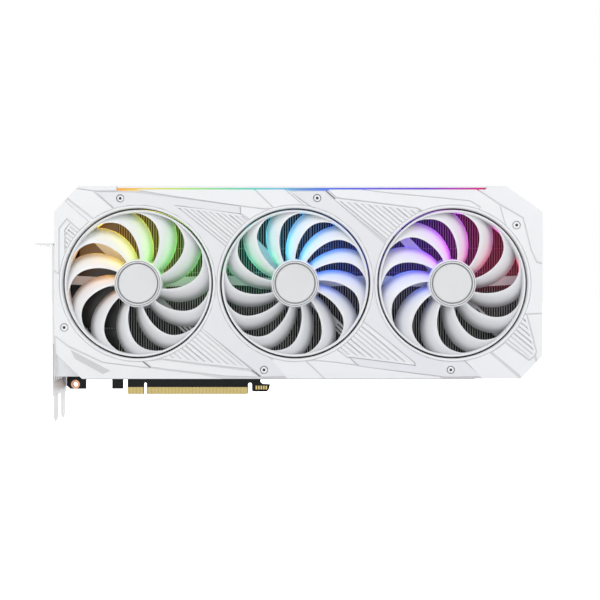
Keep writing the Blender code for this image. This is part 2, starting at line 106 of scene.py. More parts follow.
def finish_of(name, dark, light, rough, metal=0.0, scale=2500.0, bump=0.05, spread=0.12):
    """A finish: its colour wanders between two tones, its gloss and surface follow the same grain."""
    material = bpy.data.materials.new(name)
    material.use_nodes = True
    nodes, links = material.node_tree.nodes, material.node_tree.links
    shader = nodes["Principled BSDF"]
    shader.inputs["Metallic"].default_value = metal
    texture = nodes.new("ShaderNodeGroup")
    texture.node_tree = grain
    texture.inputs["Scale"].default_value = scale
    tone = nodes.new("ShaderNodeMix")
    tone.data_type = "RGBA"
    tone.inputs["A"].default_value = (*dark, 1)
    tone.inputs["B"].default_value = (*light, 1)
    gloss = nodes.new("ShaderNodeMapRange")
    gloss.inputs["To Min"].default_value = rough - spread
    gloss.inputs["To Max"].default_value = rough + spread
    relief = nodes.new("ShaderNodeBump")
    relief.inputs["Strength"].default_value = bump
    relief.inputs["Distance"].default_value = 0.1 * MM
    links.new(texture.outputs["Tone"], tone.inputs["Factor"])
    links.new(tone.outputs["Result"], shader.inputs["Base Color"])
    links.new(texture.outputs["Tone"], gloss.inputs["Value"])
    links.new(gloss.outputs["Result"], shader.inputs["Roughness"])
    links.new(texture.outputs["Height"], relief.inputs["Height"])
    links.new(relief.outputs["Normal"], shader.inputs["Normal"])
    return material


def mask_along(material, axis, start, end):
    """A value that eases from 0 to 1 along one of a piece's own axes."""
    nodes, links = material.node_tree.nodes, material.node_tree.links
    place = nodes.new("ShaderNodeTexCoord")
    split = nodes.new("ShaderNodeSeparateXYZ")
    share = nodes.new("ShaderNodeMapRange")
    share.interpolation_type = "SMOOTHSTEP"
    share.inputs["From Min"].default_value = start
    share.inputs["From Max"].default_value = end
    links.new(place.outputs["Object"], split.inputs["Vector"])
    links.new(split.outputs[axis], share.inputs["Value"])
    return share.outputs["Result"]


def shaded_to(material, share, colour):
    """Draws a finish's colour towards another by a mask."""
    nodes, links = material.node_tree.nodes, material.node_tree.links
    shader = nodes["Principled BSDF"]
    before = shader.inputs["Base Color"].links[0].from_socket
    blend = nodes.new("ShaderNodeMix")
    blend.data_type = "RGBA"
    blend.inputs["B"].default_value = (*colour, 1)
    links.new(share, blend.inputs["Factor"])
    links.new(before, blend.inputs["A"])
    links.new(blend.outputs["Result"], shader.inputs["Base Color"])


def wear(node, material):
    """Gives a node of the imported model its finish."""
    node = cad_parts[node]
    node.data.materials.clear()
    node.data.materials.append(material)


cover_shell = finish_of("cover_shell", *COVER_WHITES, COVER_ROUGHNESS, bump=0.03)
# Painted shade: the cover's face is darker where it lies at the groove floors.
shaded_to(cover_shell, mask_along(cover_shell, "Y", FACE + 0.2 * MM, FACE + 0.1 * MM), GROOVE_PAINTED_SHADE)
wear("front_shroud", cover_shell)


# The cover's face is broken up by shallow steps, all in the one white moulding. Each step is a thin
# raised field with a softened edge, cut back round the openings and the sunk screws; its corners are
# given in pixels of the photograph, whose middle is at 300.
SIDES = ("left", "middle", "right")
LIP_EDGE = 51.5 * MM
PHOTO_MIDDLE = 300.0
FACE_SCALE = 0.655 * MM
FACE_ORIGIN = np.array([72.6 * MM, 66.55 * MM])


def middle_of(node):
    """The middle of a node's box in X and Z."""
    low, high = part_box(node)
    return np.array([low.x + high.x, low.z + high.z]) / 2


FAN_CENTRES = [middle_of(f"fan_rotor_{side}") for side in SIDES]


def on_face(*pixels):
    """Points of the cover's face, from where they show in the photograph."""
    spots = np.array(pixels, float) - PHOTO_MIDDLE
    return FACE_ORIGIN + spots * np.array([FACE_SCALE, -FACE_SCALE])


def clear_of_ring(outline, centre, radius):
    """An outline with the bite of a circle taken out, the bite's edge being an arc of short chords."""
    points = []
    for a, b in zip(outline, np.roll(outline, -1, 0)):
        points.append(a)
        along, start = b - a, a - centre
        qa, qb, qc = along @ along, 2 * start @ along, start @ start - radius**2
        root = qb * qb - 4 * qa * qc
        if root > 0:
            for t in sorted([(-qb - root**0.5) / (2 * qa), (-qb + root**0.5) / (2 * qa)]):
                if 0 < t < 1:
                    points.append(a + along * t)
    points = np.array(points)
    middles = (points + np.roll(points, -1, 0)) / 2
    inside = np.linalg.norm(middles - centre, axis=1) < radius - 1e-9
    if not inside.any():
        return outline
    if inside.all():
        return np.empty((0, 2))
    count = len(points)
    first = next(i for i in range(count) if inside[i - 1] and not inside[i])
    order = [(first + i) % count for i in range(count)]
    length = next(i for i, k in enumerate(order) if inside[k])
    chain = points[[order[i] for i in range(length + 1)]]
    leave, enter = chain[-1] - centre, chain[0] - centre
    a0, a1 = math.atan2(leave[1], leave[0]), math.atan2(enter[1], enter[0])
    sweep = (a1 - a0 + math.pi) % (2 * math.pi) - math.pi
    steps = max(2, int(abs(sweep) / math.radians(2.5)))
    angles = a0 + sweep * np.arange(1, steps) / steps
    arc = centre + radius * np.stack([np.cos(angles), np.sin(angles)], 1)
    return np.concatenate([chain, arc])


def winding(loop):
    """Twice the area that a loop encloses, above zero where its inside is on the left."""
    return np.sum(loop[:, 0] * np.roll(loop[:, 1], -1) - loop[:, 1] * np.roll(loop[:, 0], -1))


def inset_loop(loop, edge):
    """A loop drawn in by the edge along the mean of each corner's two normals, its inside to the left."""
    before = loop - np.roll(loop, 1, 0)
    after = np.roll(loop, -1, 0) - loop
    before /= np.linalg.norm(before, axis=1)[:, None]
    after /= np.linalg.norm(after, axis=1)[:, None]
    inward = np.stack([-(before + after)[:, 1], (before + after)[:, 0]], 1)
    inward /= np.maximum(np.sum(inward**2, 1) / 2, 0.45)[:, None]
    return loop + inward * edge


def raised_field(outline, front, back, edge, holes=()):
    """A flat field: its loops are carried from back to front, then drawn in by the edge to its face.

    The outline runs with its inside on the left, and so do the holes, which turn the other way.
    """
    outline = outline[np.linalg.norm(outline - np.roll(outline, 1, 0), axis=1) > 1e-6]
    if winding(outline) < 0:
        outline = outline[::-1]
    points, faces, first = [], [], 0
    loops = [outline, *holes]
    for loop in loops:
        count = len(loop)
        for ring, depth in ((loop, back), (loop, front + edge), (inset_loop(loop, edge), front)):
            points.append(np.stack([ring[:, 0], np.full(count, depth), ring[:, 1]], 1))
        i = first + np.arange(count)
        j = first + (np.arange(count) + 1) % count
        for step in (0, count):
            faces += np.stack([i + step, j + step, j + step + count, i + step + count], 1).tolist()
        first += 3 * count
    points = np.concatenate(points)
    starts = np.cumsum([0] + [3 * len(loop) for loop in loops])
    for ring, turned_over in ((2, False), (0, True)):
        picks = [start + ring * len(loop) + np.arange(len(loop)) for start, loop in zip(starts, loops)]
        flats = [[Vector((x, z, 0)) for x, y, z in points[pick]] for pick in picks]
        cap = np.concatenate(picks)[np.array(tessellate_polygon(flats))]
        a, b, c = points[cap[:, 0]], points[cap[:, 1]], points[cap[:, 2]]
        facing = np.cross(b - a, c - a)[:, 1]
        wrong = facing < 0 if turned_over else facing > 0
        cap[wrong] = cap[wrong][:, ::-1]
        faces += cap.tolist()
    return points, faces


def round_hole(spot, radius):
    """A round hole's loop of 24 points, turning the other way from an outline."""
    turn = np.linspace(2 * math.pi, 0, 24, endpoint=False)
    return spot + radius * np.stack([np.cos(turn), np.sin(turn)], 1)


def piece(name, shape, material, body="card", smooth=False):
    """A new piece: points and faces put into a mesh that rides on a body of the frame."""
    points, faces = shape
    mesh = bpy.data.meshes.new(name)
    mesh.from_pydata(points.tolist(), [], faces)
    mesh.polygons.foreach_set("use_smooth", np.full(len(mesh.polygons), smooth))
    mesh.materials.append(material)
    mesh.update()
    obj = bpy.data.objects.new(name, mesh)
    bpy.context.scene.collection.objects.link(obj)
    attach(obj, body)
    return obj


white_plastic = finish_of("white_plastic", *COVER_WHITES, COVER_ROUGHNESS, bump=0.03)
FIELD_RISE = 0.65 * MM
FIELD_FOOT = FACE + 0.2 * MM
FIELD_EDGE = 0.25 * MM
SCREW_HOLE = 2.75 * MM
SCREWED_FIELDS = {"right_end": 3, "left_end_lower": 4}
FIELDS = {
    "left_end_upper": [(53.8, 211.1), (64.0, 200.6), (89, 222.6), (80, 230.2), (66.6, 218.2),
                       (58.4, 228.2), (58.4, 273), (53.8, 270)],
    "left_end_lower": [(53.8, 271.6), (59.2, 275), (59.2, 283), (137, 283), (141.6, 361.4),
                       (148.6, 367.4), (142, 366.8), (103, 362.2), (68.3, 345.9), (53.8, 335.2)],
    "left_margin": [(59.2, 229.0), (66.4, 219.9), (69.4, 222.5), (64.2, 229.6), (64.2, 283), (59.2, 283)],
    "top_left_corner": [(67.1, 197.5), (75.5, 188.8), (92.6, 191.2), (111.8, 208.2), (137, 283),
                        (94.6, 219.2)],
    "top_left_strip": [(78.5, 185.8), (116.2, 185.8), (116.2, 190.6), (95, 190.6), (92.8, 190.3),
                       (76.4, 187.9)],
    "top_strip_left": [(136, 189.4), (253.6, 189.4), (273, 208.2), (262.5, 208.2), (227, 203.7),
                       (200, 199.7), (175, 196.2)],
    "top_wedge": [(240.9, 206.6), (262.4, 209.4), (273.4, 209.4), (294, 283), (250.6, 219.6),
                  (240.9, 213.2)],
    "top_middle": [(255.6, 189.4), (284.6, 189.4), (289, 193.6), (305.6, 207.4), (294, 283),
                   (274.8, 208.6)],
    "top_sliver": [(286.1, 189.4), (288.0, 189.9), (289.4, 191.0), (309.7, 206.7), (306.8, 207.2),
                   (290.2, 193.3)],
    "top_band": [(328.4, 189.4), (361, 189.4), (390, 193.4), (430, 197.1), (470, 201.1), (480, 207),
                 (453, 283), (424, 211), (417.4, 207.6), (390, 204), (336.6, 197.2)],
    "top_strip_right": [(363, 189.4), (476.8, 189.4), (499.6, 204.9), (510, 240), (453, 283),
                        (481, 206.4), (470.4, 200.3), (430, 196.3), (390, 192.6)],
    "right_shoulder": [(478.6, 189.4), (485.6, 189.4), (488.2, 185.8), (505.9, 185.8), (542.9, 211.7),
                       (542.9, 263.2), (537.4, 261.4), (532, 249.7), (524, 217.4), (500.4, 203.8)],
    "right_end": [(500.6, 205.6), (523.2, 218.6), (531, 250.2), (536.6, 262.6), (542.9, 264.6),
                  (542.9, 313), (527.4, 313.8), (453, 283), (511, 240)],
    "right_edge": [(528, 314.6), (542.9, 314), (542.9, 356.1), (537.8, 361.4), (536, 354.6), (537.4, 352)],
    "right_tile": [(492.6, 352.6), (505.4, 343.6), (529.2, 361.2), (534.4, 357.4), (536.4, 362.9),
                   (521.6, 378.4), (519.8, 375.2)],
    "bottom_right": [(489.4, 352.6), (519.6, 379.0), (482.6, 379.0), (466, 361.4), (453, 283)],
    "bottom_strip_right": [(307, 361.3), (314.6, 360.9), (335, 362.8), (360, 366.3), (440, 376.8),
                           (442, 379.0), (325.6, 379.0)],
    "bottom_wedge": [(316, 360.2), (335, 361.9), (356.2, 364.8), (349.6, 358.1), (347.6, 358.2),
                     (337.2, 350.6), (300, 300)],
    "bottom_middle": [(271.2, 361.4), (294.7, 340), (305, 361), (324, 379.0), (287.4, 379.0)],
    "bottom_band": [(162.4, 360.3), (200, 365.4), (250, 371.5), (258.6, 376.6), (225, 375.9),
                    (200, 372.9), (175, 370.1), (151.2, 366.9), (144.6, 361.4)],
    "bottom_left": [(55, 336.8), (68, 347.4), (102.3, 363.3), (142, 368), (150.4, 368.6), (175, 372),
                    (200, 374.8), (222, 379.0), (81.6, 379.0), (55.6, 353.7)],
}
for field, corners in FIELDS.items():
    outline = on_face(*corners)
    for centre in FAN_CENTRES:
        outline = clear_of_ring(outline, centre, LIP_EDGE)
    holes = []
    if field in SCREWED_FIELDS:
        holes = [round_hole(middle_of(f"shroud_screw_{SCREWED_FIELDS[field]}"), SCREW_HOLE)]
    shape = raised_field(outline, FACE - FIELD_RISE, FIELD_FOOT, FIELD_EDGE, holes)
    piece(f"cover_{field}", shape, white_plastic)


# A narrow lower step of the same moulding fills the groove beside the cover's cut upper left corner,
# so that the groove shows as two fine lines.
BAND_RISE = 0.25 * MM
BAND_EDGE = 0.1 * MM
corner_band = on_face((65.2, 200.9), (67, 200.1), (93.2, 220.2), (90.2, 222.4))
shape = raised_field(corner_band, FACE - BAND_RISE, FIELD_FOOT, BAND_EDGE)
piece("cover_corner_band", shape, white_plastic)


# In four places the gap between two steps of the moulding is deep and holds a shadow. Each shadow is
# painted as a thin dark strip on the floor of its groove, between the fields that make the gap.
SLIT_HALF_WIDTH = 0.3 * MM
SLIT_HALF_DEPTH = 0.1 * MM
SLIT_EDGE = 0.02 * MM
SHADOW_SLITS = [((142.0, 361.5), (150.2, 367.7)), ((251.6, 370.2), (260.2, 376.8)),
                ((326.0, 190.6), (335.2, 198.6)), ((109.6, 203.6), (112.6, 206.2))]


def joined(shapes):
    """Several shapes' points and faces as one."""
    points, faces, first = [], [], 0
    for p, f in shapes:
        points.append(p)
        faces += [[k + first for k in face] for face in f]
        first += len(p)
    return np.concatenate(points), faces


shadow_grey = finish_of("slit_shadow", (0.1, 0.1, 0.105), (0.13, 0.13, 0.135), 0.6)
slits = []
for start, end in SHADOW_SLITS:
    ends = on_face(start, end)
    across = np.array([ends[0, 1] - ends[1, 1], ends[1, 0] - ends[0, 0]])
    across *= SLIT_HALF_WIDTH / np.linalg.norm(across)
    outline = np.array([ends[0] - across, ends[1] - across, ends[1] + across, ends[0] + across])
    slits.append(raised_field(outline, FACE - SLIT_HALF_DEPTH, FACE + SLIT_HALF_DEPTH, SLIT_EDGE))
piece("cover_slit_shadows", joined(slits), shadow_grey)


# A flat badge of grey plated plastic, left blank, is bonded over the cover's lower left fields. It
# stands a little proud of them and has a softened edge.
BADGE_RISE = 0.2 * MM
BADGE_EDGE = 0.15 * MM
badge_grey = finish_of("blank_badge", (0.54, 0.545, 0.56), (0.58, 0.585, 0.6), 0.45, metal=0.2, bump=0.02)
badge = on_face((70.4, 350.0), (110.0, 370.9), (102.4, 374.0), (74.6, 358.8))
badge = raised_field(badge, FACE - FIELD_RISE - BADGE_RISE, FACE, BADGE_EDGE)
piece("cover_blank_badge", badge, badge_grey)


# A thin web of the same white plastic stands behind the cover's cut lower left corner and closes the
# view past the cooler there.
WEB = np.array([(-92.6, 14.9), (-76.4, 14.9), (-76.4, 40.0), (-92.6, 40.0)]) * MM
WEB_THICK = 1.0 * MM
WEB_EDGE = 0.1 * MM
web = raised_field(WEB, cover_high.y, cover_high.y + WEB_THICK, WEB_EDGE)
piece("cover_corner_web", web, white_plastic)


# Six of the fields are ribbed in the moulding: straight bars, all at one slope, run from a plain margin
# to the nearest opening. Each bar is a strip of the field's outline between two slanted lines, and each
# margin follows an outer edge, a hair higher than the one before it.
RIB_SLOPE = math.radians(-39.5)
RIB_GROOVE = 0.9 * MM
RIB_RISE = 0.6 * MM
RIB_EDGE = 0.25 * MM
RIB_START = 0.3 * MM
RIB_SHORTEST = 0.8 * MM
RIB_PITCH = 2.8
RIB_PITCHES = {"left": 2.4, "top_left": 2.2, "top_right": 2.5}
RIB_MARGIN = 1.3 * MM
MARGIN_RISE = 0.61
MARGIN_STEP = 0.012
MARGIN_EDGE = 0.2 * MM
MARGIN_SHORTEST = 3.5 * MM
RIB_FIELDS = {
    "left": [(70.2, 223.0), (79.6, 231.2), (89.8, 223.2), (140, 283), (65.0, 283), (65.0, 230.0)],
    "top_left": [(174.6, 205.6), (210, 209.6), (227, 212.1), (239.6, 214), (249.6, 220.5), (294, 283),
                 (226, 247.6), (175, 207.6)],
    "top_right": [(335.6, 198.4), (390, 205.1), (417, 208.6), (423, 212), (453, 283), (387.5, 241.8),
                  (335, 200)],
    "bottom_left": [(202, 328.5), (249.6, 368.8), (200, 363.6), (162, 358.6), (137, 283)],
    "bottom_right": [(338, 349.8), (348, 357.2), (350, 356.9), (415, 365.4), (414.4, 362.6), (365, 323),
                     (294, 283)],
    "right": [(526.6, 315), (536.2, 352), (534.6, 355.2), (530, 359.6), (506, 342), (453, 283)],
}


def half_plane(outline, point, normal):
    """The part of an outline on the side of a line that the normal points away from."""
    depth = (outline - point) @ normal
    kept = []
    for a, b, da, db in zip(outline, np.roll(outline, -1, 0), depth, np.roll(depth, -1)):
        if da <= 0:
            kept.append(a)
        if da * db < 0:
            kept.append(a + (b - a) * da / (da - db))
    return np.array(kept).reshape(-1, 2)


rib_across = np.array([-math.sin(RIB_SLOPE), math.cos(RIB_SLOPE)])
for field, corners in RIB_FIELDS.items():
    outline = on_face(*corners)
    reach = outline @ rib_across
    pitch = RIB_PITCHES.get(field, RIB_PITCH) * MM
    bars = []
    for start in np.arange(reach.min() - RIB_START, reach.max(), pitch):
        bar = half_plane(outline, rib_across * (start + pitch - RIB_GROOVE), rib_across)
        bar = half_plane(bar, rib_across * start, -rib_across) if len(bar) else bar
        for centre in FAN_CENTRES:
            bar = clear_of_ring(bar, centre, LIP_EDGE) if len(bar) else bar
        if len(bar) > 2 and np.ptp(bar[:, 0]) > RIB_SHORTEST:
            bars.append(raised_field(bar, FACE - RIB_RISE, FIELD_FOOT, RIB_EDGE))
    for k, (a, b) in enumerate(zip(outline, np.roll(outline, -1, 0))):
        outside = min(np.linalg.norm(end - centre) for end in (a, b) for centre in FAN_CENTRES) > LIP_EDGE
        if outside and np.linalg.norm(b - a) > MARGIN_SHORTEST:
            inward = np.array([a[1] - b[1], b[0] - a[0]]) * np.sign(winding(outline)) / np.linalg.norm(b - a)
            margin = half_plane(outline, a + inward * RIB_MARGIN, inward)
            for centre in FAN_CENTRES:
                margin = clear_of_ring(margin, centre, LIP_EDGE)
            rise = (MARGIN_RISE + MARGIN_STEP * k) * MM
            bars.append(raised_field(margin, FACE - rise, FIELD_FOOT, MARGIN_EDGE))
    piece(f"cover_ribs_{field}", joined(bars), white_plastic)


# Each opening has a narrow raised lip, turned in the same moulding, that ends in a rounded edge. Behind
# it a thin liner is let into the collar that the rotor turns in; it is pale near the front and painted
# black deeper in, as painted shade.
LIP_PROFILE = [(49.7, 1.6), (51.15, 0.2), (51.15, -0.6), (50.95, -0.78), (50.15, -0.78), (49.85, -0.65),
               (49.7, -0.35)]
LINER_PROFILE = [(49.7, 0.6), (49.7, 14.9), (49.45, 14.9), (49.45, 0.6)]
BLACKS = (0.012, 0.012, 0.013), (0.02, 0.02, 0.022)
BLACK_ROUGHNESS = 0.55
LINER_PALE = (0.78, 0.785, 0.8)


def set_back(profile, face):
    """A profile given in millimetres of radius and depth, its depth counted from a face."""
    return np.array(profile) * MM + np.array([0, face])


def turned(profile, centre, steps=144):
    """A closed profile of radius and depth carried once round an axis along Y, outer walls back to front."""
    if winding(profile) > 0:
        profile = profile[::-1]
    angles = np.linspace(0, 2 * math.pi, steps, endpoint=False)
    radius, depth = profile.T
    x = centre[0] + np.outer(np.cos(angles), radius)
    z = centre[1] + np.outer(np.sin(angles), radius)
    y = np.broadcast_to(depth, x.shape)
    points = np.stack([x, y, z], 2).reshape(-1, 3)
    count = len(profile)
    i, k = np.meshgrid(np.arange(steps), np.arange(count), indexing="ij")
    n, m = (i + 1) % steps, (k + 1) % count
    faces = np.stack([i * count + k, n * count + k, n * count + m, i * count + m], 2).reshape(-1, 4)
    return points, faces.tolist()


liner_painted_shade = finish_of("opening_liner_painted_shade", *BLACKS, BLACK_ROUGHNESS)
# Painted shade: the liner goes from pale at the front to black deeper in the collar.
liner_front = mask_along(liner_painted_shade, "Y", FACE + 6.5 * MM, FACE + 2.5 * MM)
shaded_to(liner_painted_shade, liner_front, LINER_PALE)
for side, centre in zip(SIDES, FAN_CENTRES):
    lip = turned(set_back(LIP_PROFILE, FACE), centre)
    piece(f"opening_lip_{side}", lip, white_plastic)
    liner = turned(set_back(LINER_PROFILE, FACE), centre)
    piece(f"opening_liner_painted_shade_{side}", liner, liner_painted_shade)


# Two accent plates of painted sheet metal lie over the cover's face, clipped on from behind. Their cut
# edges are a little rounded by the paint.
PLATE_EDGE = 0.15 * MM
METAL_WHITES = (0.74, 0.75, 0.78), (0.78, 0.79, 0.82)
METAL_ROUGHNESS = 0.36


def softened(node, width):
    """Joins a node's loose triangles and rounds its edges a little."""
    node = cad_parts[node]
    weld = node.modifiers.new("join", "WELD")
    weld.merge_threshold = 1e-6
    bevel = node.modifiers.new("edge", "BEVEL")
    bevel.width = width
    bevel.segments = 2
    bevel.limit_method = "ANGLE"
    bevel.angle_limit = math.radians(40)


white_metal = finish_of("white_metal", *METAL_WHITES, METAL_ROUGHNESS, bump=0.02, scale=1800.0)
for side in ("left", "right"):
    wear(f"trim_plate_{side}", white_metal)
    softened(f"trim_plate_{side}", PLATE_EDGE)


# Six plated steel screws with six-sided sockets hold the cover on. The floor of each socket is in the
# dark, and that shade is painted as a small black disc.
POLE = 0.0005
SOCKET_PROFILE = [(POLE, -0.02), (1.1, -0.02), (1.1, 0.5), (POLE, 0.5)]
# Black plastic, also used for painted shade: the floors of the screw sockets and the slits in the fan arms.
black_plastic = finish_of("black_plastic", *BLACKS, BLACK_ROUGHNESS)
screw_plating = finish_of("screw_plating", (0.72, 0.73, 0.74), (0.8, 0.81, 0.82), 0.42, metal=0.5,
                          scale=900.0)
for n in range(1, 7):
    wear(f"shroud_screw_{n}", screw_plating)
    socket_shade = set_back(SOCKET_PROFILE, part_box(f"shroud_screw_{n}")[0].y)
    socket_shade = turned(socket_shade, middle_of(f"shroud_screw_{n}"), 6)
    piece(f"screw_socket_shade_{n}", socket_shade, black_plastic)


# Three rotors, each moulded in one piece: a hub, swept blades and a thin ring that ties the tips
# together. The outer two have eleven blades and turn one way; the middle one has thirteen, reversed.
# A painted cap is pressed into each hub, and two fine dark rings round it paint the shade in its grooves.
BLADE_ROOT = 15.0 * MM
BLADE_TIP = 47.3 * MM
BLADE_THICK = 2.4 * MM
DRAWN_PITCH = 32.7
SPANS, CHORDS = 25, 14
ROTORS = {"left": (11, 20.4, 1), "middle": (13, 7.2, -1), "right": (11, 12.5, 1)}
RING_PROFILE = [(46.9, 10.9), (48.3, 10.9), (48.3, 0.8), (48.05, 0.4), (47.6, 0.3), (47.15, 0.45),
                (46.9, 0.9)]
HUB_PROFILE = [(13.0, 12.0), (15.7, 12.0), (15.7, 1.2), (15.45, 0.4), (14.9, 0.05), (14.75, 0.02),
               (14.68, 0.4), (14.38, 0.4), (14.3, 0.0), (13.7, 0.0), (13.55, 0.3), (13.5, 0.9), (12.6, 0.9)]
CAP_PROFILE = [(POLE, 0.1), (11.0, 0.12), (12.5, 0.2), (12.85, 0.35), (13.0, 0.7), (POLE, 0.7)]
HUB_GROOVE_SHADES = (12.75, 14.33)
LINE_WIDTH = 0.42
HUB_STEPS = 96
HUB_CREASE = math.radians(42)
BLADE_PAINTED_SHADE = (0.34, 0.345, 0.355)


def swept_blades(centre, hub_face, count, phase, turn):
    """Blades as closed loops carried outwards along the span.

    A loop runs across the blade on its face and back behind it. Its angle goes from the front edge's
    angle to the rear edge's, both powers of the share of the span; its depth grows as a power of the
    share of the chord; its thickness is round at the front edge and thins to a fine rear edge.
    """
    v = np.linspace(0, 1, SPANS)[None, :, None]
    u = (1 - np.cos(np.linspace(0, math.pi, CHORDS))) / 2
    u = np.concatenate([u, u[-2:0:-1]])[None, None, :]
    behind = np.concatenate([np.zeros(CHORDS), np.ones(CHORDS - 2)])[None, None, :]
    pitch = 360.0 / count
    front = (26.0 * v**1.35 + 16.0 * v**9) * pitch / DRAWN_PITCH
    rear = (30.0 * v**1.1 + 4.5 * v**5 - 24.8) * pitch / DRAWN_PITCH
    lean = front + u * (rear - front)
    radius = BLADE_ROOT + v * (BLADE_TIP - BLADE_ROOT) + 0 * u
    round_front = np.minimum(u / 0.1, 1) ** 0.5
    fine_rear = (0.12 + (1 - u) ** 1.3) * np.minimum((1 - u) / 0.02, 1)
    thick = BLADE_THICK * round_front * fine_rear * behind
    depth = (1.3 - 0.3 * v + (9.3 - 0.2 * v) * u**1.4) * MM + thick
    k = np.arange(count)[:, None, None]
    angle = np.radians(phase + turn * (lean + pitch * k))
    radius = np.broadcast_to(radius, angle.shape)
    depth = np.broadcast_to(depth, angle.shape)
    x, z = centre[0] + radius * np.cos(angle), centre[1] + radius * np.sin(angle)
    points = np.stack([x, hub_face + depth, z], 3)
    loop = points.shape[2]
    b, s, c = np.meshgrid(np.arange(count), np.arange(SPANS - 1), np.arange(loop), indexing="ij")
    first = (b * SPANS + s) * loop
    n = (c + 1) % loop
    faces = np.stack([first + c, first + loop + c, first + loop + n, first + n], 3).reshape(-1, 4)
    ends = np.arange(count)[:, None] * SPANS * loop + np.arange(loop)
    faces = faces.tolist() + ends.tolist() + (ends + (SPANS - 1) * loop)[:, ::-1].tolist()
    if turn > 0:
        faces = [face[::-1] for face in faces]
    return points.reshape(-1, 3), faces


fan_plastic = finish_of("fan_plastic", (0.78, 0.79, 0.81), (0.82, 0.83, 0.85), 0.38, bump=0.02)
rotor_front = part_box("fan_rotor_left")[0].y
# Painted shade: the blades' colour darkens with depth towards their rear edges.
painted_depth_shade = mask_along(fan_plastic, "Y", rotor_front + 4.6 * MM, rotor_front + 10.8 * MM)
shaded_to(fan_plastic, painted_depth_shade, BLADE_PAINTED_SHADE)
thin = mask_along(fan_plastic, "Y", rotor_front + 6.4 * MM, rotor_front + 10.6 * MM)
fan_shader = fan_plastic.node_tree.nodes["Principled BSDF"]
fan_plastic.node_tree.links.new(thin, fan_shader.inputs["Subsurface Weight"])
fan_shader.inputs["Subsurface Radius"].default_value = (1, 1, 1)
fan_shader.inputs["Subsurface Scale"].default_value = 0.7 * MM
hub_groove_shade = finish_of("hub_groove_shade", (0.17, 0.175, 0.18), (0.2, 0.205, 0.21), 0.45)
hub_paint = finish_of("hub_paint", (0.62, 0.63, 0.64), (0.68, 0.69, 0.7), 0.4, metal=0.2, bump=0.03)
for (side, (count, phase, turn)), centre in zip(ROTORS.items(), FAN_CENTRES):
    hub_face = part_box(f"fan_rotor_{side}")[0].y
    blades = swept_blades(centre, hub_face, count, phase, turn)
    ring = turned(set_back(RING_PROFILE, hub_face), centre)
    hub = turned(set_back(HUB_PROFILE, hub_face), centre, HUB_STEPS)
    rotor = piece(f"rotor_moulding_{side}", joined([blades, ring, hub]), fan_plastic, f"rotor_{side}", True)
    rotor.data.set_sharp_from_angle(angle=HUB_CREASE)
    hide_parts(f"fan_rotor_{side}")
    cap = turned(set_back(CAP_PROFILE, hub_face), centre, HUB_STEPS)
    plate = piece(f"hub_plate_{side}", cap, hub_paint, f"rotor_{side}", True)
    plate.data.set_sharp_from_angle(angle=HUB_CREASE)
    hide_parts(f"hub_cap_{side}")
    # Painted shade: two dark rings lie in the hub's grooves.
    lines = []
    for r in HUB_GROOVE_SHADES:
        line = [(r, 0.5), (r + LINE_WIDTH, 0.5), (r + LINE_WIDTH, -0.03), (r, -0.03)]
        lines.append(turned(set_back(line, hub_face), centre, HUB_STEPS))
    piece(f"hub_groove_shades_{side}", joined(lines), hub_groove_shade, f"rotor_{side}", True)


# Each fan stands on a fixed frame of grey plastic whose arms show between the blades. One arm is cut
# through by three narrow slits, whose shade is painted as dark strips laid on its face.
SLIT_ANGLE = math.radians(-45)
SLITS = [(25.0, 28.5, 1.1), (36.5, 45.0, -1.3), (39.0, 47.0, 1.0)]
SLIT_HALF = 0.4
ARM_DEPTH = 14.8 * MM
slit_along = np.array([math.cos(SLIT_ANGLE), math.sin(SLIT_ANGLE)])
slit_across = np.array([-slit_along[1], slit_along[0]])
grey_plastic = finish_of("grey_plastic", (0.5, 0.51, 0.53), (0.56, 0.57, 0.59), 0.45)
for side, centre in zip(SIDES, FAN_CENTRES):
    wear(f"fan_frame_{side}", grey_plastic)
    arm_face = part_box(f"fan_rotor_{side}")[0].y + ARM_DEPTH
    slits = []
    for near, far, offset in SLITS:
        lower, upper = offset - SLIT_HALF, offset + SLIT_HALF
        corners = [(near, lower), (far, lower), (far, upper), (near, upper)]
        outline = np.array([centre + (a * slit_along + b * slit_across) * MM for a, b in corners])
        slits.append(raised_field(outline, arm_face - 0.06 * MM, arm_face + 0.2 * MM, SLIT_EDGE))
    piece(f"arm_slit_shades_{side}", joined(slits), black_plastic)


# The motor inside each hub: a ferrite magnet glued into the rotor, a ground steel shaft in a sintered
# bronze bearing, and a stator wound with copper wire.
ferrite = finish_of("ferrite", (0.04, 0.04, 0.045), (0.07, 0.07, 0.075), 0.6)
steel = finish_of("plated_steel", (0.62, 0.63, 0.65), (0.74, 0.75, 0.77), 0.32, metal=1.0, scale=900.0)
bronze = finish_of("sintered_bronze", (0.4, 0.26, 0.12), (0.5, 0.34, 0.17), 0.45, metal=1.0)
copper = finish_of("copper", (0.72, 0.38, 0.24), (0.8, 0.45, 0.3), 0.3, metal=1.0)
for side in SIDES:
    wear(f"rotor_magnet_{side}", ferrite)
    wear(f"rotor_shaft_{side}", steel)
    wear(f"sleeve_bearing_{side}", bronze)
    wear(f"motor_stator_{side}", copper)


